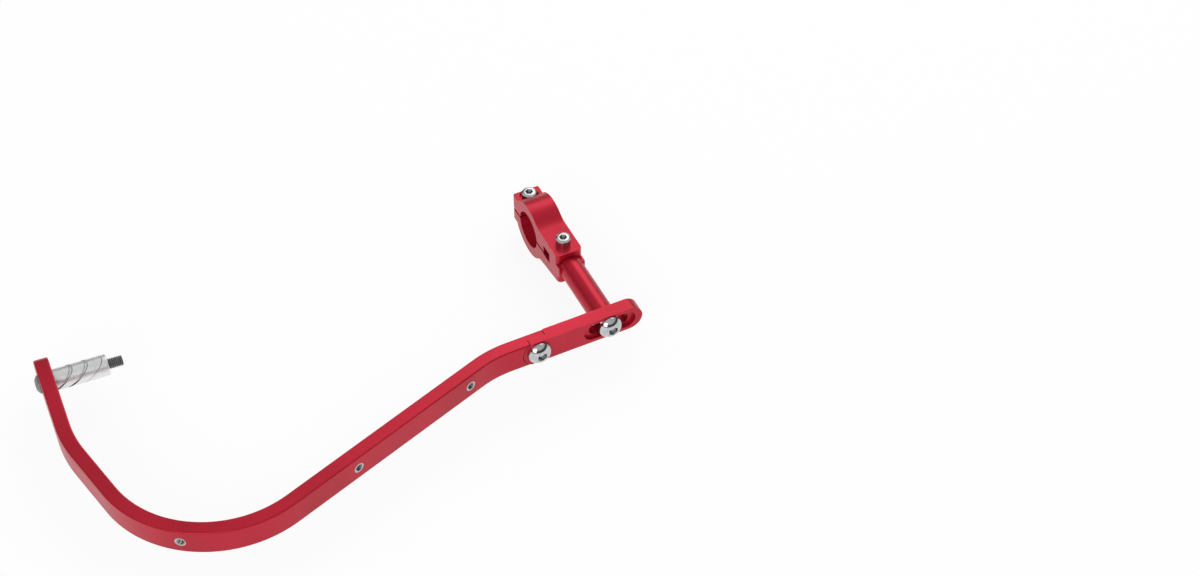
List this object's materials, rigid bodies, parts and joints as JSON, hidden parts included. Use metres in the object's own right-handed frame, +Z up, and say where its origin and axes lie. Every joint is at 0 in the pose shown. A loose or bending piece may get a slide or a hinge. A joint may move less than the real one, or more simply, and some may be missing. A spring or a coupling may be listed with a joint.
{
  "type": "motorcycle hand guard",
  "caption": "Bent flat-bar hand guard with a split handlebar clamp on a post, an adjustable slotted link and an expanding bar-end plug.",
  "frame": {"origin": "centre of the handlebar clamp's bore", "axes": "+X along the bore, away from the guard's leg; +Y towards the rider; +Z up"},
  "size_m": [0.3167, 0.1606, 0.0354],
  "materials": {
    "red_anodised": "satin red anodised",
    "bright_steel": "bright plated",
    "insert_steel": "plain bright steel",
    "plug_aluminium": "bright turned",
    "dark_steel": "dark zinc"
  },
  "bodies": {
    "root": {"guard_bar": "red_anodised", "mount_link": "red_anodised", "clamp_post": "red_anodised", "clamp_cap": "red_anodised", "clamp_base": "red_anodised", "clamp_bolt_front": "bright_steel", "clamp_bolt_rear": "bright_steel", "slot_bolt": "bright_steel", "link_bolt": "bright_steel", "thread_insert_near": "insert_steel", "thread_insert_far": "insert_steel", "thread_insert_corner": "insert_steel", "plug_sleeve": "plug_aluminium", "plug_wedge": "plug_aluminium", "plug_bolt": "dark_steel"}
  },
  "joints": []
}
